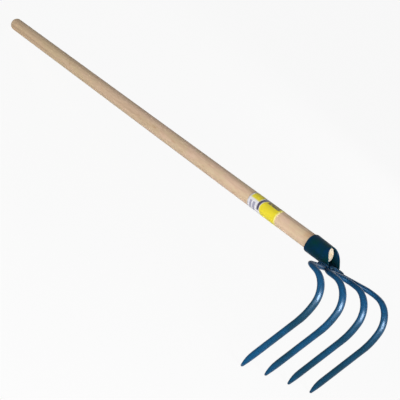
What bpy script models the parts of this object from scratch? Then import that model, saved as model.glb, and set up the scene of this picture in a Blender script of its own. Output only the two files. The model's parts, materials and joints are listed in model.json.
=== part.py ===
# Fork hoe with four bent tines: an ash shaft, a rolled steel eye collar and two bent tine bars.
# Built in the tool's own axes (+X along the shaft to the head, +Z away from the points), then laid
# down as it lies on a floor: on the grip end and the four points. Metres, +Z up.

import math

import bmesh
import bpy
from mathutils import Matrix, Vector

MM = 0.001

# Gap kept between pieces that touch on the real tool
SEAT_GAP = 0.3 * MM

# Shaft: a long taper, with its head end slimmed to be driven into the eye
SHAFT_LENGTH = 1198 * MM
SHAFT_SET_BACK = 2 * MM
SHAFT_HEAD_DIAMETER = 32 * MM
SHAFT_GRIP_DIAMETER = 28 * MM
SHAFT_EYE_FACE_DIAMETER = 29 * MM
SHAFT_HEAD_CHAMFER = 1.2 * MM
SHAFT_GRIP_ROUNDING = 10 * MM
SHAFT_SIDES = 40

# Eye collar: a strap rolled round the shaft, squarer and deeper underneath, with a slanted mouth
COLLAR_WALL = 2.0 * MM
COLLAR_REAR_X = -48.2 * MM
COLLAR_TOP_FALL = 1.3 * MM
COLLAR_ROOM_BELOW = 1.4 * MM
COLLAR_SQUARENESS = 3.4
COLLAR_SEAM = 1.0 * MM
COLLAR_EDGE_ROUNDING = 0.5 * MM
MOUTH_AT_AXIS = 14.3 * MM
MOUTH_SLANT = math.radians(39)
MOUTH_FOOT_BEHIND_GROOVE = 2.6 * MM

# Tine bars: oval section, broad side across the tine's own plane, pressed flatter on the arms
BAR_WIDTH = 16.2 * MM
BAR_THICKNESS = 11.6 * MM
ARM_THICKNESS = 10.2 * MM
STRAIGHT_WIDTH = 14.8 * MM
BAR_LET_IN = 3.7 * MM
BAR_FULLNESS = 2.05
BAR_SIDES = 24

# Plan of the outer bar: a bow under the eye, swept arms, then shoulders into the outer tines
TINE_SPACING = 63.6 * MM
OUTER_APEX_X = 18 * MM
OUTER_BOW_RADIUS = 70 * MM
ARM_SWEEP = math.radians(24.6)
ARM_RISE = math.radians(0.8)
OUTER_SHOULDER_RADIUS = 30 * MM
SHOULDER_DIP = math.radians(8)

# Plan of the inner bar: nested in the bow of the outer one
INNER_BOW_ANGLE = math.radians(22)

# Side view, shared by the four tines
INNER_BEND_START_X = 66 * MM
REACH_X = 113.5 * MM
FIRST_BEND_END = math.radians(94.5)
SECOND_BEND_RADIUS = 130 * MM
TINE_LEAN = math.radians(114.3)
POINT_DEPTH = 236 * MM
TINE_FAN = math.radians(0.4)
FULL_THICKNESS_STEPS = 6

# Points: forged to a blunt chisel, from the side that faces the grip
POINT_LENGTH = 34 * MM
POINT_WIDTH = 6.0 * MM
POINT_THICKNESS = 3.0 * MM
POINT_SET_FORWARD = 0.4
POINT_END_SHARE = 0.52

# Weld beads: two beside the collar on the outer bar, two along the groove between the bars
SIDE_BEAD_PAST_CREST = 2 * MM
SIDE_BEAD_REACH = 20 * MM
SIDE_BEAD_WIDTH = 15 * MM
SIDE_BEAD_HEIGHT = 9 * MM
SIDE_BEAD_RISE = 4.1 * MM
FRONT_BEAD_DIAMETER = 10 * MM
FRONT_BEAD_RISE = 5.0 * MM
FRONT_BEAD_SIDE_ROOM = 2.4 * MM
UNDER_BEAD_DIAMETER = 6 * MM
UNDER_BEAD_DROP = 3.7 * MM
UNDER_BEAD_REACH = 16 * MM
BEAD_SPACE = 1 * MM

# Paper label wrapped part of the way round the shaft
LABEL_START_X = -235 * MM
LABEL_LENGTH = 88 * MM
LABEL_WRAP = math.radians(180)
LABEL_FACING = math.radians(180)
LABEL_THICKNESS = 0.3 * MM


def material(name, color, roughness, metallic=0.0):
    mat = bpy.data.materials.new(name)
    mat.use_nodes = True
    shader = mat.node_tree.nodes["Principled BSDF"]
    shader.inputs["Base Color"].default_value = (*color, 1.0)
    shader.inputs["Roughness"].default_value = roughness
    shader.inputs["Metallic"].default_value = metallic
    mat.diffuse_color = (*color, 1.0)
    return mat


def clear_scene():
    for obj in list(bpy.data.objects):
        bpy.data.objects.remove(obj, do_unlink=True)


def collection(name):
    group = bpy.data.collections.new(name)
    bpy.context.scene.collection.children.link(group)
    return group


def object_from(name, bm, group, mat=None):
    mesh = bpy.data.meshes.new(name)
    bm.to_mesh(mesh)
    bm.free()
    obj = bpy.data.objects.new(name, mesh)
    group.objects.link(obj)
    if mat:
        mesh.materials.append(mat)
    return obj


def shade_round(obj, angle=math.radians(40)):
    obj.data.shade_smooth()
    obj.data.set_sharp_from_angle(angle=angle)


def cut_away(obj, cutter, name):
    cut = obj.modifiers.new(name, "BOOLEAN")
    cut.operation = "DIFFERENCE"
    cut.solver = "EXACT"
    cut.object = cutter


def as_cutter(obj):
    obj.hide_render = True
    obj.display_type = "WIRE"
    return obj


# Sizes the pieces share

def eye_radius():
    return SHAFT_HEAD_DIAMETER / 2 + SEAT_GAP + COLLAR_WALL


def eye_depth():
    return eye_radius() + COLLAR_ROOM_BELOW


def bar_z():
    """Height of the bars' centre, let into the underside of the eye."""
    return -(eye_depth() - BAR_LET_IN + ARM_THICKNESS / 2)


def mouth_foot_x():
    return OUTER_APEX_X + BAR_WIDTH / 2 - MOUTH_FOOT_BEHIND_GROOVE


def front_bead_reach():
    return eye_radius() - COLLAR_WALL - FRONT_BEAD_SIDE_ROOM


# Shaft

def shaft_radius(x):
    """Radius of the long taper, from the eye's rear rim back to the grip end."""
    share = (COLLAR_REAR_X - x) / (COLLAR_REAR_X + SHAFT_SET_BACK + SHAFT_LENGTH)
    return (SHAFT_HEAD_DIAMETER + (SHAFT_GRIP_DIAMETER - SHAFT_HEAD_DIAMETER) * share) / 2


def shaft_profile():
    """Radius and place along the tool of the turned outline, from the head face to the grip end."""
    face = -SHAFT_SET_BACK
    chamfer = SHAFT_HEAD_CHAMFER
    face_radius = SHAFT_EYE_FACE_DIAMETER / 2
    points = [(0.0, face), (face_radius - chamfer, face), (face_radius, face - chamfer)]
    end = face - SHAFT_LENGTH + SHAFT_GRIP_ROUNDING
    rings = 9
    for i in range(rings + 1):
        x = COLLAR_REAR_X + (end - COLLAR_REAR_X) * i / rings
        points.append((shaft_radius(x), x))
    grip = shaft_radius(end)
    steps = 7
    for i in range(1, steps + 1):
        turn = math.pi / 2 * i / steps
        radius = grip - SHAFT_GRIP_ROUNDING * (1 - math.cos(turn))
        points.append((radius, end - SHAFT_GRIP_ROUNDING * math.sin(turn)))
    points.append((0.0, end - SHAFT_GRIP_ROUNDING))
    return points


def build_shaft(group, mat):
    bm = bmesh.new()
    verts = [bm.verts.new((radius, 0.0, x)) for radius, x in shaft_profile()]
    for a, b in zip(verts, verts[1:]):
        bm.edges.new((a, b))
    shaft = object_from("shaft", bm, group, mat)
    screw = shaft.modifiers.new("turn", "SCREW")
    screw.axis = "Z"
    screw.steps = SHAFT_SIDES
    screw.render_steps = SHAFT_SIDES
    screw.use_merge_vertices = True
    screw.merge_threshold = 0.00005
    screw.use_smooth_shade = True
    shaft.rotation_euler = (0.0, math.pi / 2, 0.0)
    return shaft


# Label

def build_label(group, mat):
    """A strip bent to the shaft's own facets, so that it lies evenly on the wood."""
    facet = 2 * math.pi / SHAFT_SIDES
    count = round(LABEL_WRAP / facet)
    first = round((LABEL_FACING - LABEL_WRAP / 2) / facet)
    bm = bmesh.new()
    rows = []
    for x in (LABEL_START_X, LABEL_START_X + LABEL_LENGTH):
        radius = shaft_radius(x) + SEAT_GAP
        turns = [(first + i) * facet for i in range(count + 1)]
        rows.append([bm.verts.new((x, radius * math.cos(t), radius * math.sin(t))) for t in turns])
    for i in range(count):
        bm.faces.new((rows[0][i + 1], rows[1][i + 1], rows[1][i], rows[0][i]))
    label = object_from("label", bm, group, mat)
    sheet = label.modifiers.new("sheet", "SOLIDIFY")
    sheet.thickness = LABEL_THICKNESS
    sheet.offset = 1.0
    sheet.use_even_offset = True
    shade_round(label)
    return label


# Tine bars

class Station:
    """A place on a bar: centre, plan heading, pitch below the horizontal and section size."""

    def __init__(self, centre, heading, pitch):
        self.centre = centre
        self.heading = heading
        self.pitch = pitch
        self.width = BAR_WIDTH
        self.thickness = ARM_THICKNESS
        self.depth_shift = 0.0

    def along(self):
        level = math.cos(self.pitch)
        return Vector((level * math.cos(self.heading), level * math.sin(self.heading),
                       -math.sin(self.pitch)))

    def across(self):
        return Vector((-math.sin(self.heading), math.cos(self.heading), 0.0))

    def outward(self):
        """Away from the ground at the eye, and away from the grip on the tines."""
        return self.along().cross(self.across())


def bend(stations, length, yaw=0.0, pitch=0.0, steps=6):
    """Carry the bar round an arc, turning in plan (yaw), in its own upright plane (pitch) or both."""
    for _ in range(steps):
        last = stations[-1]
        middle = Station(last.centre, last.heading + yaw / steps / 2, last.pitch + pitch / steps / 2)
        end = Station(last.centre, last.heading + yaw / steps, last.pitch + pitch / steps)
        half_turn = last.along().angle(end.along()) / 2
        chord = length / steps * math.sin(half_turn) / half_turn
        end.centre = last.centre + chord * middle.along()
        stations.append(end)


def run(stations, length, steps=1):
    for _ in range(steps):
        last = stations[-1]
        centre = last.centre + last.along() * (length / steps)
        stations.append(Station(centre, last.heading, last.pitch))


def bow_start(apex_x):
    return [Station(Vector((apex_x, 0.0, bar_z())), math.pi / 2, 0.0)]


def outer_plan():
    """Left half of the outer bar in plan, from the eye to the end of its shoulder."""
    stations = bow_start(OUTER_APEX_X)
    bend(stations, OUTER_BOW_RADIUS * ARM_SWEEP, yaw=-ARM_SWEEP, pitch=-ARM_RISE, steps=4)
    turn = math.pi / 2 - ARM_SWEEP
    shoulder_y = OUTER_SHOULDER_RADIUS * (1 - math.cos(turn))
    arm = (1.5 * TINE_SPACING - shoulder_y - stations[-1].centre.y) / math.cos(ARM_SWEEP)
    run(stations, arm, steps=2)
    length = OUTER_SHOULDER_RADIUS * turn
    bend(stations, length, yaw=-turn, pitch=ARM_RISE + SHOULDER_DIP, steps=8)
    return stations


def inner_apex_x():
    return OUTER_APEX_X + BAR_WIDTH + SEAT_GAP


def inner_bow_radius():
    return OUTER_BOW_RADIUS - BAR_WIDTH - SEAT_GAP


def inner_plan():
    """Left half of the inner bar in plan: it follows the outer bow, then turns into its tine."""
    stations = bow_start(inner_apex_x())
    rise = ARM_RISE * INNER_BOW_ANGLE / ARM_SWEEP
    bend(stations, inner_bow_radius() * INNER_BOW_ANGLE, yaw=-INNER_BOW_ANGLE, pitch=-rise, steps=4)
    turn = math.pi / 2 - INNER_BOW_ANGLE
    radius = (0.5 * TINE_SPACING - stations[-1].centre.y) / (1 - math.cos(turn))
    bend(stations, radius * turn, yaw=-turn, pitch=rise, steps=8)
    run(stations, INNER_BEND_START_X - stations[-1].centre.x)
    return stations


def add_tine(stations, side_shift):
    """Two bends and a straight shared by all tines, forged to a point at the end."""
    first = stations[-1]
    radius = (REACH_X - first.centre.x) / (1 - math.sin(first.pitch))
    turn = FIRST_BEND_END - first.pitch
    root = len(stations) - 1
    bend(stations, radius * turn, pitch=turn, steps=16)
    turn = TINE_LEAN - FIRST_BEND_END
    bend(stations, SECOND_BEND_RADIUS * turn, pitch=turn, steps=6)
    first_straight = len(stations) - 1
    length = (stations[-1].centre.z + POINT_DEPTH) / math.sin(TINE_LEAN)
    run(stations, length - POINT_LENGTH, steps=2)
    for station in stations[first_straight:]:
        station.width = STRAIGHT_WIDTH
    for i, station in enumerate(stations[root:]):
        share = min(1.0, i / FULL_THICKNESS_STEPS)
        station.thickness = ARM_THICKNESS + (BAR_THICKNESS - ARM_THICKNESS) * share
    add_point(stations)
    for station in stations:
        drop = bar_z() - station.centre.z
        station.centre.y += side_shift * drop * math.tan(TINE_FAN)


def add_point(stations):
    """The last stretch narrows and thins to a blunt end, with the front left nearly straight."""
    first = stations[-1]
    shares = (0.25, 0.5, 0.72, 0.88, 0.96, 1.0)
    for share in shares:
        station = Station(first.centre + first.along() * POINT_LENGTH * share, first.heading, first.pitch)
        fall = share ** 2.2
        station.width = STRAIGHT_WIDTH + (POINT_WIDTH - STRAIGHT_WIDTH) * fall
        station.thickness = BAR_THICKNESS + (POINT_THICKNESS - BAR_THICKNESS) * fall
        station.depth_shift = (BAR_THICKNESS - station.thickness) * POINT_SET_FORWARD
        stations.append(station)
    end = stations[-1]
    end.width *= POINT_END_SHARE
    end.thickness *= POINT_END_SHARE


def oval_ring(station, grow=0.0):
    """Points of the section at a station: an ellipse filled out a little at its corners."""
    half_width = station.width / 2 + grow
    half_thickness = station.thickness / 2 + grow
    ring = []
    for i in range(BAR_SIDES):
        turn = 2 * math.pi * i / BAR_SIDES
        c, s = math.cos(turn), math.sin(turn)
        across = math.copysign(abs(c) ** (2 / BAR_FULLNESS), c) * half_width
        outward = math.copysign(abs(s) ** (2 / BAR_FULLNESS), s) * half_thickness
        centre = station.centre + station.outward() * station.depth_shift
        ring.append(centre + station.across() * across + station.outward() * outward)
    return ring


def loft(bm, rings, close_start, close_end):
    """Skin a row of rings that all have the same number of points."""
    rows = [[bm.verts.new(point) for point in ring] for ring in rings]
    count = len(rows[0])
    for low, high in zip(rows, rows[1:]):
        for i in range(count):
            j = (i + 1) % count
            bm.faces.new((low[i], low[j], high[j], high[i]))
    if close_start:
        bm.faces.new(list(reversed(rows[0])))
    if close_end:
        bm.faces.new(rows[-1])
    bmesh.ops.recalc_face_normals(bm, faces=bm.faces)


def mirror_across(obj):
    mirror = obj.modifiers.new("other half", "MIRROR")
    mirror.use_axis = (False, True, False)
    mirror.use_clip = True
    mirror.merge_threshold = 0.00005


def flush_start(ring):
    """Put the first ring exactly on the middle plane, where the halves join."""
    return [Vector((point.x, 0.0, point.z)) for point in ring]


def bar_rings(stations, grow=0.0):
    rings = [oval_ring(station, grow) for station in stations]
    rings[0] = flush_start(rings[0])
    return rings


def build_bar(name, stations, group, mat):
    rings = bar_rings(stations)
    bm = bmesh.new()
    loft(bm, rings, close_start=False, close_end=True)
    bar = object_from(name, bm, group, mat)
    mirror_across(bar)
    shade_round(bar)
    return bar


def build_bar_cutter(name, stations, group):
    """The bar's own plan grown by the seat gap, to cut seats in what lies against it."""
    rings = bar_rings(stations, SEAT_GAP)
    bm = bmesh.new()
    loft(bm, rings, close_start=False, close_end=True)
    cutter = object_from(name, bm, group)
    mirror_across(cutter)
    return as_cutter(cutter)


# Eye collar

def collar_outline(fall=0.0, grow=0.0):
    """Outside of the eye's section in Y and Z, from one lip of the seam round to the other."""
    radius = eye_radius() + grow
    depth = eye_depth() + grow
    half = [(COLLAR_SEAM / 2, -depth)]
    steps = 9
    for i in range(1, steps):
        turn = math.pi / 2 * i / steps
        across = math.sin(turn) ** (2 / COLLAR_SQUARENESS)
        down = math.cos(turn) ** (2 / COLLAR_SQUARENESS)
        half.append((radius * across, -depth * down))
    for i in range(steps):
        turn = math.pi / 2 * i / steps
        half.append((radius * math.cos(turn), (radius - fall) * math.sin(turn)))
    return half + [(0.0, radius - fall)] + [(-y, z) for y, z in reversed(half)]


def mouth_x(z):
    """The mouth slants forward and down until its foot stands over the outer bar."""
    return min(MOUTH_AT_AXIS - z * math.tan(MOUTH_SLANT), mouth_foot_x())


def build_collar(group, mat, seat_cutter):
    bm = bmesh.new()
    rear = [bm.verts.new((COLLAR_REAR_X, y, z)) for y, z in collar_outline()]
    front = [bm.verts.new((mouth_x(z), y, z)) for y, z in collar_outline(COLLAR_TOP_FALL)]
    for i in range(len(rear) - 1):
        bm.faces.new((rear[i + 1], front[i + 1], front[i], rear[i]))
    collar = object_from("eye_collar", bm, group, mat)
    wall = collar.modifiers.new("wall", "SOLIDIFY")
    wall.thickness = COLLAR_WALL
    wall.offset = -1.0
    wall.use_even_offset = True
    edges = collar.modifiers.new("edges", "BEVEL")
    edges.width = COLLAR_EDGE_ROUNDING
    edges.segments = 2
    edges.limit_method = "ANGLE"
    edges.angle_limit = math.radians(50)
    cut_away(collar, seat_cutter, "bar seat")
    shade_round(collar)
    return collar


def build_eye_block(name, front_x, group):
    """The eye's outside as a solid block grown by the seat gap, to keep weld clear of the collar."""
    outline = collar_outline(grow=SEAT_GAP)
    bm = bmesh.new()
    rings = [[Vector((x, y, z)) for y, z in outline] for x in (COLLAR_REAR_X, front_x)]
    loft(bm, rings, close_start=True, close_end=True)
    return as_cutter(object_from(name, bm, group))


# Weld beads

def build_middle_block(group):
    """A block over the width of the front bead, to keep the side beads out of its place."""
    half_width = front_bead_reach() + BEAD_SPACE
    bm = bmesh.new()
    bmesh.ops.create_cube(bm, size=2.0)
    size = Matrix.Diagonal((2 * BAR_WIDTH, half_width, 2 * eye_depth(), 1.0))
    bmesh.ops.transform(bm, matrix=Matrix.Translation((OUTER_APEX_X, 0.0, 0.0)) @ size, verts=bm.verts)
    return as_cutter(object_from("middle_block", bm, group))


def build_side_bead(name, side, group, mat, cutters):
    """A lump of weld in the corner between the collar's side and the top of the outer bar."""
    bm = bmesh.new()
    bmesh.ops.create_uvsphere(bm, u_segments=20, v_segments=10, radius=0.5)
    size = Matrix.Diagonal((SIDE_BEAD_WIDTH, SIDE_BEAD_REACH * 2, SIDE_BEAD_HEIGHT, 1.0))
    x = OUTER_APEX_X + SIDE_BEAD_PAST_CREST
    place = Matrix.Translation((x, side * eye_radius(), SIDE_BEAD_RISE + bar_z()))
    bmesh.ops.transform(bm, matrix=place @ size, verts=bm.verts)
    bead = object_from(name, bm, group, mat)
    for cutter in cutters:
        cut_away(bead, cutter, cutter.name)
    shade_round(bead)
    return bead


def groove_radius():
    return OUTER_BOW_RADIUS - (BAR_WIDTH + SEAT_GAP) / 2


def build_groove_bead(name, size, group, mat, cutters):
    """A bead along the groove between the two bows, tapering at both ends."""
    diameter, rise, reach = size
    radius = groove_radius()
    half_angle = math.asin(reach / radius)
    centre_x = OUTER_APEX_X + OUTER_BOW_RADIUS
    steps = 12
    rings = []
    for i in range(steps + 1):
        share = 2 * i / steps - 1
        turn = half_angle * share
        taper = max(0.25, math.sqrt(1 - abs(share) ** 3))
        height = rise + bar_z()
        middle = Vector((centre_x - radius * math.cos(turn), radius * math.sin(turn), height))
        out = Vector((-math.cos(turn), math.sin(turn), 0.0))
        ring = []
        for j in range(12):
            around = 2 * math.pi * j / 12
            offset = out * math.cos(around) + Vector((0.0, 0.0, math.sin(around)))
            ring.append(middle + offset * (diameter / 2 * taper))
        rings.append(ring)
    bm = bmesh.new()
    loft(bm, rings, close_start=True, close_end=True)
    bead = object_from(name, bm, group, mat)
    for cutter in cutters:
        cut_away(bead, cutter, cutter.name)
    shade_round(bead)
    return bead


# Laying the tool on the floor

def outline_points(bars):
    """Upright outline of the whole tool: both edges of the shaft and every point of the bars."""
    shaft = [Vector((x, 0.0, side * radius)) for radius, x in shaft_profile() for side in (1, -1)]
    tines = [point for stations in bars for ring in bar_rings(stations) for point in ring]
    return shaft, tines


def lowest(points, tilt):
    return min(point.x * math.sin(tilt) + point.z * math.cos(tilt) for point in points)


def resting_tilt(shaft, tines):
    """Tilt at which the grip end and the points of the tines are equally low."""
    low, high = 0.0, math.radians(45)
    for _ in range(50):
        tilt = (low + high) / 2
        if lowest(shaft, tilt) > lowest(tines, tilt):
            low = tilt
        else:
            high = tilt
    return low


def lay_down(bars):
    """Tilt the tool onto its grip end and points, with the origin midway between its ends."""
    shaft, tines = outline_points(bars)
    tilt = resting_tilt(shaft, tines)
    lengths = [p.x * math.cos(tilt) - p.z * math.sin(tilt) for p in shaft + tines]
    frame = bpy.data.objects.new("tool_axes", None)
    bpy.context.scene.collection.objects.link(frame)
    frame.rotation_euler = (0.0, -tilt, 0.0)
    frame.location = (-(min(lengths) + max(lengths)) / 2, 0.0, -lowest(tines, tilt))
    return frame


def main():
    clear_scene()
    parts = collection("fork_hoe")
    cutters = collection("cutters")
    ash = material("ash", (0.62, 0.45, 0.28), 0.55)
    blue = material("blue_paint", (0.012, 0.06, 0.13), 0.35)
    paper = material("paper", (0.80, 0.76, 0.70), 0.6)
    outer = outer_plan()
    inner = inner_plan()
    outer_seat = build_bar_cutter("outer_bar_seat", outer, cutters)
    inner_seat = build_bar_cutter("inner_bar_seat", inner, cutters)
    add_tine(outer, 3)
    add_tine(inner, 1)
    bars = (outer_seat, inner_seat)
    eye_sides = build_eye_block("eye_sides", mouth_foot_x() + BAR_WIDTH, cutters)
    eye_foot = build_eye_block("eye_foot", mouth_foot_x() + SEAT_GAP, cutters)
    beside = bars + (eye_sides, build_middle_block(cutters))
    before = bars + (eye_foot,)
    build_shaft(parts, ash)
    build_label(parts, paper)
    build_bar("outer_tine_bar", outer, parts, blue)
    build_bar("inner_tine_bar", inner, parts, blue)
    build_collar(parts, blue, outer_seat)
    build_side_bead("left_collar_weld", 1, parts, blue, beside)
    build_side_bead("right_collar_weld", -1, parts, blue, beside)
    front_size = (FRONT_BEAD_DIAMETER, FRONT_BEAD_RISE, front_bead_reach())
    under_size = (UNDER_BEAD_DIAMETER, -UNDER_BEAD_DROP, UNDER_BEAD_REACH)
    build_groove_bead("front_weld", front_size, parts, blue, before)
    build_groove_bead("under_weld", under_size, parts, blue, before)
    frame = lay_down((outer, inner))
    for group in (parts, cutters):
        for obj in group.objects:
            obj.parent = frame


main()
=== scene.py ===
# Looks of the fork hoe: blue paint on the forged head, a turned ash shaft, a coloured sticker.
# Everything is in metres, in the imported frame: the tool lies on its grip end and its four points.
# The tool's own axes are used for places on it: X runs along the shaft to the head, X = 0 is 2 mm
# before the shaft's end face, Y is to the left, Z is up, away from the points.

import json
import math

import bmesh
import bpy
from mathutils import Matrix, Vector, noise


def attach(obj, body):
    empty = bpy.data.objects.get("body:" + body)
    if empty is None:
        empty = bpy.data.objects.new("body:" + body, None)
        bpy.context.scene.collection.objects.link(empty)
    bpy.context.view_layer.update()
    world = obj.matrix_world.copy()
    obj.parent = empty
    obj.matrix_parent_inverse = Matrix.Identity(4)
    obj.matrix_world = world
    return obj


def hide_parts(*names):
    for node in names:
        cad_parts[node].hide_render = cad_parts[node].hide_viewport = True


MM = 0.001

# Camera, in the tool's own axes
CAMERA_PLACE = Vector((1.917349, -2.202769, 0.260104))
CAMERA_RIGHT = Vector((0.553677, 0.649224, 0.521488))
CAMERA_UP = Vector((-0.426659, -0.316627, 0.847177))
CAMERA_LENS = 145.953
CAMERA_SENSOR = 36.0

# Lamps: name, place, aim, width, height, watts
LAMPS = (
    ("key softbox", (2.25, -0.1, 0.95), (0.6, 0.0, 0.15), 1.2, 0.7, 20.0),
    ("sheen card", (2.25, 0.0, 0.98), (0.6, 0.0, 0.15), 1.7, 0.7, 330.0),
    ("side softbox", (1.7, -3.0, 0.27), (0.0, 0.0, 0.1), 2.8, 0.5, 62.0),
    ("back fill", (-0.6, 2.2, 0.9), (0.0, 0.0, 0.1), 1.6, 1.0, 9.0),
    ("low softbox", (2.3, -1.0, 0.2), (0.4, 0.0, 0.12), 0.8, 0.35, 27.0),
)

# World and floor: levels where 1 is white, size in metres
WORLD_LEVEL = 0.07
FLOOR_COLOUR = (0.90, 0.90, 0.90)
FLOOR_WHITE_SHARE = 0.93
FLOOR_ROUGHNESS = 0.9
FLOOR_HALF_SIZE = 12.0

# Shaft
SHAFT_SET_BACK = 2 * MM
SHAFT_LENGTH = 1197.97 * MM
SHAFT_HEAD_RADIUS = 16 * MM
SHAFT_GRIP_RADIUS = 14 * MM
SHAFT_FACE_RADIUS = 14.5 * MM
SHAFT_FACE_CHAMFER = 1.2 * MM
SHAFT_FACE_SLANT = math.tan(math.radians(15))
SHAFT_GRIP_ROUNDING = 10 * MM
SHAFT_SIDES = 72
SHAFT_RINGS = 110
SHAFT_WAVE = 0.12 * MM
WAVES_ALONG = 14.0
WAVES_AROUND = 1.3
FACE_RING_SHARES = (0.25, 0.5, 0.75)
GRIP_ROUNDING_STEPS = 9
SHAFT_SHARP_ANGLE = 35

# Eye
EYE_REAR_X = -48.2 * MM
RIM_WIDTH = 2.4 * MM

# Sticker
LABEL_START_X = -235 * MM
LABEL_LENGTH = 88 * MM
LABEL_FIRST_TURN = math.radians(90)
LABEL_WRAP = math.radians(180)
LABEL_LIFT = 0.12 * MM
LABEL_THICKNESS = 0.12 * MM
LABEL_COLUMNS = 44
LABEL_ROWS = 60
LABEL_CURL = 0.3 * MM
CURL_START_ALONG = 0.93
CURL_END_AROUND = 0.12
CURL_GROWTH = 60

# Surface relief in the meshes
FORGING_DEPTH = 0.30 * MM
BROAD_HOLLOWS = 40.0
FINE_HOLLOWS = 90.0
BROAD_SHARE = 0.85
FINE_SHARE = 0.15
RIPPLE_DEPTH = 0.25 * MM
RIPPLE_PITCH = 2.2 * MM
RIPPLE_MIDDLE_X = 22 * MM
RIPPLE_BEND = 18 * MM
RIPPLE_WOBBLE = 0.4
WOBBLE_SCALE = 260.0
WELD_SMOOTHING = 0.5
WELD_VOXEL = 0.6 * MM
LONGEST_EDGE = 4.5 * MM
SPLIT_PASSES = 6
STEEL_SHARP_ANGLE = 42

# Paint: places in the tool's axes, roughness and gloss
SIDE_REACH = 80 * MM
# Share of deeper blue towards the left tines, partly painted shade on the far tines
LEFT_SHADE_SHARE = 0.6
ARM_LOW_Z = -75 * MM
ARM_DULL_Z = -55 * MM
ARM_HIGH_Z = -25 * MM
WEAR_TOP_Z = -231 * MM
POINT_Z = -236 * MM
WEAR_SHARE = 0.35
PAINT_IOR = 1.3
TINE_ROUGHNESS = 0.34
TINE_GLOSS = 0.42
ARM_GLOSS = 0.07
DULL_ROUGHNESS = 0.42
DULL_GLOSS = 0.10
PEEL_DEPTH = 0.02 * MM
HAMMER_DEPTH = 0.15 * MM

# Wood: places in the tool's axes
# Painted light: the wood is paler towards the grip, to make up for the lamps' fall-off there
PAINTED_LIGHT_START_X = -450 * MM
PAINTED_LIGHT_END_X = -1200 * MM
PAINTED_LIGHT_SHARE = 0.5
WARM_PATCH_PLACE = (-58 * MM, -10 * MM, 10 * MM)
WARM_PATCH_RADIUS = 14 * MM
WARM_PATCH_SHARE = 0.45
RIM_SHARE = 0.9
PORE_DEPTH = 0.10 * MM
WOOD_IOR = 1.45
WOOD_GLOSS = 0.5
RING_CENTRE_SHIFT = (0.0, 14 * MM, 9 * MM)
GOLD_PLACE = (-SHAFT_SET_BACK, 6 * MM, 1 * MM)
GOLD_RADIUS = 8 * MM
FOOT_TOP_Z = -3 * MM
FOOT_LOW_Z = -11 * MM
FOOT_SHARE = 0.8
END_ROUGHNESS = 0.75
END_PORE_DEPTH = 0.15 * MM

# Colours, linear
TINE_BLUE = (0.001, 0.047, 0.118)
TINE_DEEP = (0.001, 0.028, 0.056)
# Lighter violet of the arms, partly painted light: the sheen and lit tops of the arms
TINE_VIOLET_AND_SHEEN = (0.009, 0.062, 0.148)
PAINT_FLECK = (0.09, 0.14, 0.22)
PAINT_SHEEN = (0.58, 0.78, 1.0)
EYE_NAVY = (0.001, 0.026, 0.050)
EYE_BLUE = (0.001, 0.026, 0.078)
EYE_GREEN = (0.001, 0.031, 0.034)
RIM_GREY = (0.50, 0.53, 0.50)
BARE_STEEL = (0.14, 0.15, 0.16)
WOOD_PINK = (0.760, 0.545, 0.395)
WOOD_STRAW = (0.715, 0.545, 0.355)
WOOD_ROSE = (0.690, 0.455, 0.315)
# Painted light, for the paler wood towards the grip
WOOD_PAINTED_LIGHT = (0.950, 0.720, 0.420)
WOOD_LINE = (0.560, 0.380, 0.240)
WOOD_FLECK = (0.480, 0.240, 0.095)
WOOD_WARM_PATCH = (0.560, 0.270, 0.090)
END_CREAM = (0.56, 0.46, 0.32)
END_GOLD = (0.56, 0.39, 0.18)
END_GREY = (0.50, 0.47, 0.41)
STICKER_WHITE = (0.80, 0.79, 0.83)
STICKER_GREY = (0.36, 0.35, 0.46)
STICKER_YELLOW = (0.84, 0.70, 0.010)
STICKER_PALE = (0.82, 0.74, 0.20)
STICKER_VIOLET = (0.06, 0.05, 0.10)
STICKER_BROWN = (0.13, 0.105, 0.07)

# Sticker layout: colour, start and end along, start and end around, and whether its edges are bowed
STICKER_FIELDS = (
    (STICKER_PALE, 0.03, 0.36, -1.0, 0.42, False),
    (STICKER_YELLOW, 0.06, 0.33, 0.02, 0.38, False),
    (STICKER_GREY, 0.07, 0.15, 0.50, 0.86, False),
    (STICKER_GREY, 0.18, 0.27, 0.50, 0.88, False),
    (STICKER_YELLOW, 0.42, 2.0, -1.0, 2.0, True),
    (STICKER_PALE, 0.95, 2.0, -1.0, 2.0, False),
    (STICKER_VIOLET, 0.33, 0.42, -1.0, 0.72, True),
)
MOTTLED_FIELD = (0.52, 0.93, 0.0, 0.26)
BOW_MIDDLE = 0.55
BOW_DEPTH = 0.45
PRINT_CRISPNESS = 70.0
STICKER_ROUGHNESS = 0.42
STICKER_GLOSS = 0.2
WRINKLE_DEPTH = 0.3 * MM


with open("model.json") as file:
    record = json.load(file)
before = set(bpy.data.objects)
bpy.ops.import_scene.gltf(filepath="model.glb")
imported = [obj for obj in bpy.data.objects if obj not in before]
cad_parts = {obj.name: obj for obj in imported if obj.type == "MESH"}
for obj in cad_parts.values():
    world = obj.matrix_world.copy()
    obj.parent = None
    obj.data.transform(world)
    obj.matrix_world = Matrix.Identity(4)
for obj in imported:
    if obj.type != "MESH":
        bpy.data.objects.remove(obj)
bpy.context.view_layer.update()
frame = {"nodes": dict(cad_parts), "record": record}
mounts = frame["record"]["mounts"]
end_face = next(mount for mount in mounts if mount["name"] == "shaft_end_face")
TOOL_TILT = math.asin(end_face["axis"][2])
TOOL_TURN = Matrix.Rotation(-TOOL_TILT, 4, "Y")
TOOL_PLACE = Vector(end_face["pos_m"]) + Vector(end_face["axis"]) * SHAFT_SET_BACK
TOOL = Matrix.Translation(TOOL_PLACE) @ TOOL_TURN
TO_TOOL = TOOL.inverted()


# Node helpers

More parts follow.
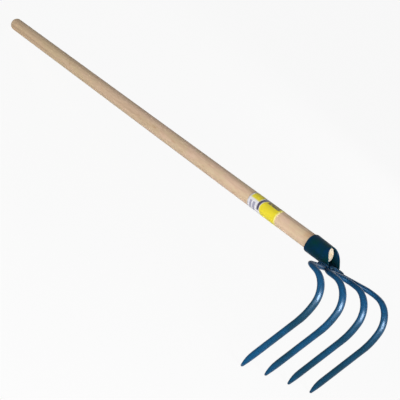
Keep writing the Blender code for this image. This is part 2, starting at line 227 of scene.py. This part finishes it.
class Shader:
    """A Principled material and short ways to add nodes to it."""

    def __init__(self, name):
        self.mat = bpy.data.materials.new(name)
        self.mat.use_nodes = True
        self.tree = self.mat.node_tree
        self.bsdf = self.tree.nodes["Principled BSDF"]

    def node(self, kind, **values):
        node = self.tree.nodes.new(kind)
        for key, value in values.items():
            setattr(node, key, value)
        return node

    def link(self, source, target):
        self.tree.links.new(source, target)

    def put(self, socket, value):
        """Links a socket, or sets a plain value."""
        if isinstance(value, bpy.types.NodeSocket):
            self.link(value, socket)
        elif isinstance(value, tuple) and len(value) == 3 and socket.type == "RGBA":
            socket.default_value = (*value, 1.0)
        else:
            socket.default_value = value

    def set(self, **values):
        for key, value in values.items():
            self.put(self.bsdf.inputs[key.replace("_", " ")], value)

    def math(self, operation, a, b=0.0, clamp=False):
        node = self.node("ShaderNodeMath", operation=operation, use_clamp=clamp)
        self.put(node.inputs[0], a)
        self.put(node.inputs[1], b)
        return node.outputs[0]

    def times(self, a, b):
        return self.math("MULTIPLY", a, b)

    def mix(self, factor, a, b):
        node = self.node("ShaderNodeMix", data_type="RGBA")
        self.put(node.inputs["Factor"], factor)
        self.put(node.inputs[6], a)
        self.put(node.inputs[7], b)
        return node.outputs[2]

    def ramp(self, value, *stops):
        """A ramp from stops of (position, colour or level)."""
        node = self.node("ShaderNodeValToRGB")
        elements = node.color_ramp.elements
        while len(elements) < len(stops):
            elements.new(0.5)
        for element, (position, colour) in zip(elements, stops):
            shade = colour if isinstance(colour, tuple) else (colour, colour, colour)
            element.position = position
            element.color = (*shade, 1.0)
        self.link(value, node.inputs[0])
        return node.outputs[0]

    def between(self, value, low, high):
        """0 at low, 1 at high, even between them and level beyond, whichever is the larger."""
        node = self.node("ShaderNodeMapRange", clamp=True)
        self.put(node.inputs["Value"], value)
        node.inputs["From Min"].default_value = low
        node.inputs["From Max"].default_value = high
        return node.outputs["Result"]

    def noise(self, vector, scale, detail=4.0, roughness=0.5, distortion=0.0):
        node = self.node("ShaderNodeTexNoise")
        self.put(node.inputs["Vector"], vector)
        node.inputs["Scale"].default_value = scale
        node.inputs["Detail"].default_value = detail
        node.inputs["Roughness"].default_value = roughness
        node.inputs["Distortion"].default_value = distortion
        return node.outputs["Fac"]

    def stretch(self, vector, scale, shift=(0.0, 0.0, 0.0)):
        node = self.node("ShaderNodeMapping")
        self.put(node.inputs["Vector"], vector)
        node.inputs["Scale"].default_value = scale
        node.inputs["Location"].default_value = shift
        return node.outputs[0]

    def tool_space(self):
        """Object coordinates turned into the tool's own axes."""
        node = self.node("ShaderNodeMapping")
        self.link(self.node("ShaderNodeTexCoord").outputs["Object"], node.inputs["Vector"])
        node.inputs["Rotation"].default_value = (0.0, TOOL_TILT, 0.0)
        node.inputs["Location"].default_value = -(TOOL_TURN.inverted() @ TOOL_PLACE)
        return node.outputs[0]

    def axes(self, vector):
        node = self.node("ShaderNodeSeparateXYZ")
        self.link(vector, node.inputs[0])
        return node.outputs[0], node.outputs[1], node.outputs[2]

    def near(self, vector, centre, radius):
        """1 at a place, falling to 0 at a distance from it."""
        node = self.node("ShaderNodeVectorMath", operation="DISTANCE")
        self.link(vector, node.inputs[0])
        node.inputs[1].default_value = centre
        return self.between(node.outputs["Value"], radius, 0.0)

    def bump(self, height, distance, strength=1.0, under=None):
        node = self.node("ShaderNodeBump")
        node.inputs["Distance"].default_value = distance
        node.inputs["Strength"].default_value = strength
        self.link(height, node.inputs["Height"])
        if under is not None:
            self.link(under, node.inputs["Normal"])
        return node.outputs[0]


# Paint

def paint_over_steel(shader, place, colour, roughness, gloss):
    """What all painted pieces share: specks, uneven sheen and orange peel over forged steel."""
    specks = shader.ramp(shader.noise(place, 600.0, 2.0, 0.6), (0.74, 0.0), (0.82, 0.15))
    colour = shader.mix(specks, colour, PAINT_FLECK)
    smooth, rough = roughness - 0.04, roughness + 0.06
    sheen = shader.ramp(shader.noise(place, 90.0, 3.0), (0.30, smooth), (0.70, rough))
    peel = shader.noise(place, 420.0, 1.0, 0.4)
    forging = shader.noise(place, 110.0, 2.0, 0.5)
    normal = shader.bump(peel, PEEL_DEPTH, 0.2, shader.bump(forging, HAMMER_DEPTH, 0.15))
    shader.set(Base_Color=colour, Roughness=sheen, Normal=normal)
    shader.set(IOR=PAINT_IOR, Specular_IOR_Level=gloss, Specular_Tint=PAINT_SHEEN)


def tine_paint():
    """Blue, deeper to the left and more violet on the arms, partly as painted shade and painted
    light; duller on the arms, rubbed at the very points.
    """
    shader = Shader("blue paint on tines")
    place = shader.tool_space()
    _, across, height = shader.axes(place)
    colour = shader.ramp(shader.noise(place, 22.0, 3.0), (0.38, TINE_DEEP), (0.60, TINE_BLUE))
    # Deeper towards the left tines: partly painted shade on the far tines
    left = shader.between(across, -SIDE_REACH, SIDE_REACH)
    colour = shader.mix(shader.times(left, LEFT_SHADE_SHARE), colour, TINE_DEEP)
    # Lighter violet on the arms: partly painted light, the sheen and lit tops of the arms
    colour = shader.mix(shader.between(height, ARM_LOW_Z, ARM_HIGH_Z), colour, TINE_VIOLET_AND_SHEEN)
    wear = shader.times(shader.between(height, WEAR_TOP_Z, POINT_Z), WEAR_SHARE)
    rubs = shader.ramp(shader.noise(place, 240.0, 3.0, 0.7), (0.46, 0.0), (0.60, 1.0))
    colour = shader.mix(shader.times(wear, rubs), colour, BARE_STEEL)
    arm = shader.between(height, ARM_DULL_Z, ARM_HIGH_Z)
    gloss = shader.ramp(arm, (0.0, TINE_GLOSS), (1.0, ARM_GLOSS))
    paint_over_steel(shader, place, colour, TINE_ROUGHNESS, gloss)
    return shader.mat


def eye_colour(shader, place):
    """Mottled navy, with bluer and greener patches where the paint lies thicker or thinner."""
    patches = shader.noise(place, 42.0, 3.0, 0.55)
    return shader.ramp(patches, (0.36, EYE_GREEN), (0.48, EYE_NAVY), (0.66, EYE_BLUE))


def collar_paint():
    shader = Shader("blue paint on eye")
    place = shader.tool_space()
    paint_over_steel(shader, place, eye_colour(shader, place), DULL_ROUGHNESS, DULL_GLOSS)
    return shader.mat


def weld_paint():
    """The same paint over rougher weld metal."""
    shader = Shader("blue paint on welds")
    place = shader.tool_space()
    # Its violet end is partly painted light, as on the arms
    colour = shader.ramp(shader.noise(place, 60.0, 3.0), (0.40, TINE_DEEP), (0.58, TINE_VIOLET_AND_SHEEN))
    paint_over_steel(shader, place, colour, DULL_ROUGHNESS, DULL_GLOSS)
    return shader.mat


# Wood

def grain(shader, tool, along, across, detail, roughness, distortion=0.0):
    """Noise drawn out along the shaft."""
    drawn_out = shader.stretch(tool, (along, across, across))
    return shader.noise(drawn_out, 1.0, detail, roughness, distortion)


def ash_colour(shader, tool, along, lines, pores):
    """Straw and pinkish patches, with lines, pores and flecks in them, and painted light that makes
    the wood paler towards the grip.
    """
    patches = grain(shader, tool, 16.0, 48.0, 3.0, 0.55)
    colour = shader.ramp(patches, (0.42, WOOD_STRAW), (0.58, WOOD_PINK))
    mottle = grain(shader, tool, 80.0, 230.0, 3.0, 0.6)
    colour = shader.mix(shader.ramp(mottle, (0.47, 0.0), (0.62, 0.42)), colour, WOOD_ROSE)
    # Painted light: paler towards the grip, where the lamps fall off
    pale = shader.between(along, PAINTED_LIGHT_START_X, PAINTED_LIGHT_END_X)
    colour = shader.mix(shader.times(pale, PAINTED_LIGHT_SHARE), colour, WOOD_PAINTED_LIGHT)
    colour = shader.mix(shader.ramp(lines, (0.36, 0.50), (0.50, 0.0)), colour, WOOD_LINE)
    colour = shader.mix(shader.ramp(pores, (0.58, 0.0), (0.72, 0.35)), colour, WOOD_LINE)
    flecks = grain(shader, tool, 55.0, 240.0, 3.0, 0.6)
    return shader.mix(shader.ramp(flecks, (0.62, 0.0), (0.74, 0.50)), colour, WOOD_FLECK)


def wood():
    """Turned ash, with an orange-brown patch just behind the eye and a grey rim where it enters the
    eye.
    """
    shader = Shader("ash wood")
    tool = shader.tool_space()
    along = shader.axes(tool)[0]
    lines = grain(shader, tool, 3.0, 170.0, 4.0, 0.55, 0.4)
    pores = grain(shader, tool, 40.0, 1300.0, 2.0, 0.6)
    colour = ash_colour(shader, tool, along, lines, pores)
    warm_patch = shader.near(tool, WARM_PATCH_PLACE, WARM_PATCH_RADIUS)
    colour = shader.mix(shader.times(warm_patch, WARM_PATCH_SHARE), colour, WOOD_WARM_PATCH)
    rim = shader.between(along, EYE_REAR_X - RIM_WIDTH, EYE_REAR_X - 0.7 * RIM_WIDTH)
    colour = shader.mix(shader.times(rim, RIM_SHARE), colour, RIM_GREY)
    height = shader.math("ADD", shader.times(pores, -0.6), shader.times(lines, 0.4))
    rough = shader.ramp(pores, (0.3, 0.50), (0.7, 0.62))
    shader.set(Base_Color=colour, Roughness=rough, Normal=shader.bump(height, PORE_DEPTH, 0.5))
    shader.set(IOR=WOOD_IOR, Specular_IOR_Level=WOOD_GLOSS)
    return shader.mat


def end_grain():
    """The shaft's head end: year rings off centre, pores, a golden middle and a grey foot."""
    shader = Shader("ash end grain")
    tool = shader.tool_space()
    rings = shader.node("ShaderNodeTexWave", wave_type="RINGS", rings_direction="X")
    shifted = shader.stretch(tool, (1.0, 1.0, 1.0), RING_CENTRE_SHIFT)
    shader.link(shifted, rings.inputs["Vector"])
    rings.inputs["Scale"].default_value = 130.0
    rings.inputs["Distortion"].default_value = 1.2
    rings.inputs["Detail"].default_value = 2.0
    late_wood = tuple(0.82 * c for c in END_CREAM)
    colour = shader.ramp(rings.outputs["Fac"], (0.10, late_wood), (0.50, END_CREAM))
    colour = shader.mix(shader.near(tool, GOLD_PLACE, GOLD_RADIUS), colour, END_GOLD)
    foot = shader.between(shader.axes(tool)[2], FOOT_TOP_Z, FOOT_LOW_Z)
    colour = shader.mix(shader.times(foot, FOOT_SHARE), colour, END_GREY)
    pores = shader.noise(tool, 1400.0, 2.0, 0.6)
    colour = shader.mix(shader.ramp(pores, (0.60, 0.0), (0.70, 0.4)), colour, WOOD_LINE)
    normal = shader.bump(pores, END_PORE_DEPTH, 0.5)
    shader.set(Base_Color=colour, Roughness=END_ROUGHNESS, Normal=normal)
    return shader.mat


# Sticker

def window(shader, value, low, high):
    """1 from low to high, 0 outside, with soft printed edges."""
    past_low = shader.math("SUBTRACT", value, low)
    short_of_high = shader.math("SUBTRACT", high, value)
    rise = shader.math("MULTIPLY", past_low, PRINT_CRISPNESS, clamp=True)
    fall = shader.math("MULTIPLY", short_of_high, PRINT_CRISPNESS, clamp=True)
    return shader.times(rise, fall)


def field(shader, along, around, low, high, first, last):
    """1 inside a box of the layout, 0 outside."""
    return shader.times(window(shader, along, low, high), window(shader, around, first, last))


def sticker():
    """A plain printed sticker: fields of colour, laid out by its own UV map."""
    shader = Shader("sticker")
    uv = shader.node("ShaderNodeUVMap", uv_map="layout").outputs[0]
    along, around, _ = shader.axes(uv)
    off_middle = shader.math("SUBTRACT", around, BOW_MIDDLE)
    bow = shader.times(shader.math("POWER", off_middle, 2.0), BOW_DEPTH)
    bowed_along = shader.math("SUBTRACT", along, bow)
    colour = STICKER_WHITE
    for ink, low, high, first, last, bowed in STICKER_FIELDS:
        axis = bowed_along if bowed else along
        colour = shader.mix(field(shader, axis, around, low, high, first, last), colour, ink)
    blotches = shader.noise(shader.stretch(uv, (26.0, 16.0, 1.0)), 1.0, 2.0)
    blotches = shader.ramp(blotches, (0.38, 0.45), (0.56, 1.0))
    mottled = shader.times(field(shader, along, around, *MOTTLED_FIELD), blotches)
    colour = shader.mix(mottled, colour, STICKER_BROWN)
    fade = shader.noise(shader.stretch(uv, (14.0, 14.0, 1.0)), 1.0, 2.0)
    colour = shader.mix(shader.times(fade, 0.06), colour, STICKER_WHITE)
    scuff = shader.noise(shader.stretch(uv, (60.0, 90.0, 1.0)), 1.0, 3.0, 0.7)
    colour = shader.mix(shader.ramp(scuff, (0.66, 0.0), (0.78, 0.4)), colour, WOOD_PINK)
    wrinkle = shader.noise(shader.stretch(uv, (6.0, 26.0, 1.0)), 1.0, 3.0)
    shader.set(Base_Color=colour, Normal=shader.bump(wrinkle, WRINKLE_DEPTH, 0.35))
    shader.set(Roughness=STICKER_ROUGHNESS, Specular_IOR_Level=STICKER_GLOSS)
    return shader.mat


# Mesh helpers

def new_object(name, mesh, mats):
    for mat in mats:
        mesh.materials.append(mat)
    obj = bpy.data.objects.new(name, mesh)
    bpy.context.scene.collection.objects.link(obj)
    return obj


def mesh_from(name, bm, sharp=None):
    """A smooth mesh from a bmesh, with edges over the sharp angle in degrees left crisp."""
    mesh = bpy.data.meshes.new(name)
    bm.to_mesh(mesh)
    bm.free()
    mesh.shade_smooth()
    if sharp is not None:
        mesh.set_sharp_from_angle(angle=math.radians(sharp))
    return mesh


def joined_copy(node):
    """A CAD node's faces as one connected bmesh of its own."""
    source = frame["nodes"][node].data
    places = {}
    faces = []
    for polygon in source.polygons:
        corners = []
        for i in polygon.vertices:
            spot = tuple(round(c, 7) for c in source.vertices[i].co)
            corners.append(places.setdefault(spot, len(places)))
        if len(set(corners)) == len(corners):
            faces.append(corners)
    bm = bmesh.new()
    verts = [bm.verts.new(place) for place in places]
    for corners in faces:
        bm.faces.new([verts[i] for i in corners])
    return bm


def split_long_edges(bm, longest):
    for _ in range(SPLIT_PASSES):
        edges = [e for e in bm.edges if e.calc_length() > longest]
        if not edges:
            return
        bmesh.ops.subdivide_edges(bm, edges=edges, cuts=1)
        bmesh.ops.triangulate(bm, faces=bm.faces)


def sink(bm, depth_at):
    """Moves every vertex inwards by the depth at its place in the tool's axes."""
    bm.normal_update()
    moves = [(v, v.normal * depth_at(TO_TOOL @ v.co)) for v in bm.verts]
    for vert, move in moves:
        vert.co -= move


def voxel_remeshed(bm, name, voxel):
    """The same shape with small even faces."""
    mesh = bpy.data.meshes.new(name)
    bm.to_mesh(mesh)
    bm.free()
    rough = bpy.data.objects.new(name, mesh)
    bpy.context.scene.collection.objects.link(rough)
    remesh = rough.modifiers.new("even faces", "REMESH")
    remesh.mode = "VOXEL"
    remesh.voxel_size = voxel
    evaluated = rough.evaluated_get(bpy.context.evaluated_depsgraph_get())
    result = bmesh.new()
    result.from_mesh(evaluated.to_mesh())
    evaluated.to_mesh_clear()
    bpy.data.objects.remove(rough)
    bpy.data.meshes.remove(mesh)
    return result


# Pieces

def stand_in(obj, node):
    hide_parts(node)
    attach(obj, "root")


def forging_depth(place):
    """Slow hollows of hammered and bent bar, a share of the forging depth."""
    broad = 0.5 + 0.5 * noise.noise(place * BROAD_HOLLOWS)
    fine = 0.5 + 0.5 * noise.noise(place * FINE_HOLLOWS)
    return FORGING_DEPTH * (BROAD_SHARE * broad + FINE_SHARE * fine)


def build_bar(node, mat):
    bm = joined_copy(node)
    split_long_edges(bm, LONGEST_EDGE)
    sink(bm, forging_depth)
    mesh = mesh_from(node, bm, STEEL_SHARP_ANGLE)
    stand_in(new_object("forged_" + node, mesh, [mat]), node)


def build_collar(mat):
    bm = joined_copy("eye_collar")
    split_long_edges(bm, LONGEST_EDGE)
    mesh = mesh_from("eye", bm, STEEL_SHARP_ANGLE)
    stand_in(new_object("rolled_eye", mesh, [mat]), "eye_collar")


def ripple_depth(place):
    """Crescent ripples of a weld bead laid across the tool."""
    bend = (place.x - RIPPLE_MIDDLE_X) ** 2 / RIPPLE_BEND
    wobble = RIPPLE_WOBBLE * noise.noise(place * WOBBLE_SCALE)
    phase = 2 * math.pi * (abs(place.y) + bend) / RIPPLE_PITCH + wobble
    return RIPPLE_DEPTH * (0.5 - 0.5 * math.cos(phase))


def build_weld(node, mat):
    bm = voxel_remeshed(joined_copy(node), node, WELD_VOXEL)
    every_axis = {"use_axis_x": True, "use_axis_y": True, "use_axis_z": True}
    bmesh.ops.smooth_vert(bm, verts=bm.verts, factor=WELD_SMOOTHING, **every_axis)
    sink(bm, ripple_depth)
    stand_in(new_object("rippled_" + node, mesh_from(node, bm), [mat]), node)


def shaft_radius(x):
    """Radius of the long taper behind the eye."""
    share = (EYE_REAR_X - x) / (EYE_REAR_X + SHAFT_SET_BACK + SHAFT_LENGTH)
    return SHAFT_HEAD_RADIUS + (SHAFT_GRIP_RADIUS - SHAFT_HEAD_RADIUS) * share


def shaft_profile():
    """Places and radii of the turned outline, from the head face to the grip end."""
    face = -SHAFT_SET_BACK
    chamfer = SHAFT_FACE_CHAMFER
    inner = [(face, SHAFT_FACE_RADIUS * share) for share in FACE_RING_SHARES]
    profile = inner + [(face, SHAFT_FACE_RADIUS - chamfer), (face - chamfer, SHAFT_FACE_RADIUS)]
    end = face - SHAFT_LENGTH + SHAFT_GRIP_ROUNDING
    for i in range(SHAFT_RINGS + 1):
        x = EYE_REAR_X + (end - EYE_REAR_X) * i / SHAFT_RINGS
        profile.append((x, shaft_radius(x)))
    grip = shaft_radius(end)
    for i in range(1, GRIP_ROUNDING_STEPS + 1):
        turn = math.pi / 2 * i / GRIP_ROUNDING_STEPS
        radius = grip - SHAFT_GRIP_ROUNDING * (1 - math.cos(turn))
        profile.append((end - SHAFT_GRIP_ROUNDING * math.sin(turn), radius))
    return profile


def turned_vert(bm, x, radius, turn):
    """A point on the turned surface, a hair lower where the tool cut deeper."""
    around = math.cos(turn) * WAVES_AROUND, math.sin(turn) * WAVES_AROUND
    wave = SHAFT_WAVE * (0.6 + 0.4 * noise.noise(Vector((x * WAVES_ALONG, *around))))
    radius -= wave * min(1.0, radius / SHAFT_GRIP_RADIUS)
    height = radius * math.sin(turn)
    if x > EYE_REAR_X:
        x -= SHAFT_FACE_SLANT * height
    return bm.verts.new(TOOL @ Vector((x, radius * math.cos(turn), height)))


def build_shaft(mats):
    """Rings from the head face to the grip end; the head face takes the second material."""
    bm = bmesh.new()
    turns = [2 * math.pi * j / SHAFT_SIDES for j in range(SHAFT_SIDES)]
    profile = shaft_profile()
    rings = [[turned_vert(bm, x, radius, turn) for turn in turns] for x, radius in profile]
    face_rings = len(FACE_RING_SHARES) + 1
    for i, (ring, following) in enumerate(zip(rings, rings[1:])):
        for j in range(SHAFT_SIDES):
            k = (j + 1) % SHAFT_SIDES
            quad = bm.faces.new((ring[j], following[j], following[k], ring[k]))
            quad.material_index = 1 if i < face_rings else 0
    head = bm.faces.new(rings[0])
    head.material_index = 1
    bm.faces.new(list(reversed(rings[-1])))
    bmesh.ops.recalc_face_normals(bm, faces=bm.faces)
    mesh = mesh_from("shaft", bm, SHAFT_SHARP_ANGLE)
    stand_in(new_object("turned_shaft", mesh, mats), "shaft")


def label_lift(along, around):
    """Height over the wood: flat on it, with one corner that lifts a little."""
    corner = max(0.0, along - CURL_START_ALONG) * max(0.0, CURL_END_AROUND - around) * CURL_GROWTH
    return LABEL_LIFT + corner * LABEL_CURL


def label_vert(bm, along, around):
    """A point of the sticker, from its shares along the shaft and around it."""
    x = LABEL_START_X + LABEL_LENGTH * along
    turn = LABEL_FIRST_TURN + LABEL_WRAP * around
    radius = shaft_radius(x) + label_lift(along, around)
    return bm.verts.new(TOOL @ Vector((x, radius * math.cos(turn), radius * math.sin(turn))))


def build_label(mat):
    columns, rows = LABEL_COLUMNS, LABEL_ROWS
    bm = bmesh.new()
    layout = bm.loops.layers.uv.new("layout")
    grid = []
    for i in range(columns + 1):
        grid.append([label_vert(bm, i / columns, j / rows) for j in range(rows + 1)])
    for i in range(columns):
        for j in range(rows):
            corners = ((i, j + 1), (i + 1, j + 1), (i + 1, j), (i, j))
            face = bm.faces.new([grid[a][b] for a, b in corners])
            for loop, (a, b) in zip(face.loops, corners):
                loop[layout].uv = (a / columns, b / rows)
    label = new_object("sticker", mesh_from("sticker", bm), [mat])
    sheet = label.modifiers.new("sheet", "SOLIDIFY")
    sheet.thickness = LABEL_THICKNESS
    sheet.offset = 1.0
    stand_in(label, "label")


# Scene

def build_camera():
    data = bpy.data.cameras.new("camera")
    data.lens = CAMERA_LENS
    data.sensor_width = CAMERA_SENSOR
    camera = bpy.data.objects.new("camera", data)
    back = CAMERA_RIGHT.cross(CAMERA_UP)
    turn = Matrix((CAMERA_RIGHT, CAMERA_UP, back)).transposed().to_4x4()
    camera.matrix_world = TOOL @ Matrix.Translation(CAMERA_PLACE) @ turn
    bpy.context.scene.collection.objects.link(camera)
    bpy.context.scene.camera = camera


def area_light(name, place, aim, width, height, power):
    data = bpy.data.lights.new(name, "AREA")
    data.shape = "RECTANGLE"
    data.size = width
    data.size_y = height
    data.energy = power
    light = bpy.data.objects.new(name, data)
    turn = (Vector(aim) - Vector(place)).to_track_quat("-Z", "Y").to_matrix().to_4x4()
    light.matrix_world = Matrix.Translation(Vector(place)) @ turn
    bpy.context.scene.collection.objects.link(light)
    return light


def build_lamps():
    """All the lamps; the sheen card is seen by reflections alone."""
    lights = {lamp[0]: area_light(*lamp) for lamp in LAMPS}
    lights["sheen card"].visible_diffuse = False


def seen_directly(tree):
    """1 for camera, glossy and transmission rays."""
    path = tree.nodes.new("ShaderNodeLightPath")
    first = tree.nodes.new("ShaderNodeMath")
    first.operation = "MAXIMUM"
    tree.links.new(path.outputs["Is Camera Ray"], first.inputs[0])
    tree.links.new(path.outputs["Is Glossy Ray"], first.inputs[1])
    second = tree.nodes.new("ShaderNodeMath")
    second.operation = "MAXIMUM"
    tree.links.new(first.outputs[0], second.inputs[0])
    tree.links.new(path.outputs["Is Transmission Ray"], second.inputs[1])
    return second.outputs[0]


def build_world():
    world = bpy.data.worlds.new("studio")
    bpy.context.scene.world = world
    world.use_nodes = True
    tree = world.node_tree
    background = tree.nodes["Background"]
    background.inputs["Color"].default_value = (1.0, 1.0, 1.0, 1.0)
    mix = tree.nodes.new("ShaderNodeMix")
    tree.links.new(seen_directly(tree), mix.inputs["Factor"])
    mix.inputs[2].default_value = WORLD_LEVEL
    mix.inputs[3].default_value = 1.0
    tree.links.new(mix.outputs[0], background.inputs["Strength"])


def build_floor():
    """A pale floor that is nearly white to the camera, and still takes the tool's shadow."""
    bm = bmesh.new()
    bmesh.ops.create_grid(bm, x_segments=1, y_segments=1, size=FLOOR_HALF_SIZE)
    mesh = bpy.data.meshes.new("floor")
    bm.to_mesh(mesh)
    bm.free()
    mat = bpy.data.materials.new("pale floor")
    mat.use_nodes = True
    tree = mat.node_tree
    bsdf = tree.nodes["Principled BSDF"]
    bsdf.inputs["Base Color"].default_value = (*FLOOR_COLOUR, 1.0)
    bsdf.inputs["Roughness"].default_value = FLOOR_ROUGHNESS
    bsdf.inputs["Specular IOR Level"].default_value = 0.0
    glow = tree.nodes.new("ShaderNodeEmission")
    share = tree.nodes.new("ShaderNodeMath")
    share.operation = "MULTIPLY"
    share.inputs[1].default_value = FLOOR_WHITE_SHARE
    tree.links.new(seen_directly(tree), share.inputs[0])
    mix = tree.nodes.new("ShaderNodeMixShader")
    tree.links.new(share.outputs[0], mix.inputs[0])
    tree.links.new(bsdf.outputs[0], mix.inputs[1])
    tree.links.new(glow.outputs[0], mix.inputs[2])
    tree.links.new(mix.outputs[0], tree.nodes["Material Output"].inputs["Surface"])
    new_object("floor", mesh, [mat])


def main():
    bpy.context.scene.view_settings.view_transform = "Standard"
    build_camera()
    build_world()
    build_floor()
    build_lamps()
    on_tines = tine_paint()
    on_welds = weld_paint()
    for node in ("outer_tine_bar", "inner_tine_bar"):
        build_bar(node, on_tines)
    for node in ("left_collar_weld", "right_collar_weld", "front_weld", "under_weld"):
        build_weld(node, on_welds)
    build_collar(collar_paint())
    build_shaft([wood(), end_grain()])
    build_label(sticker())


main()
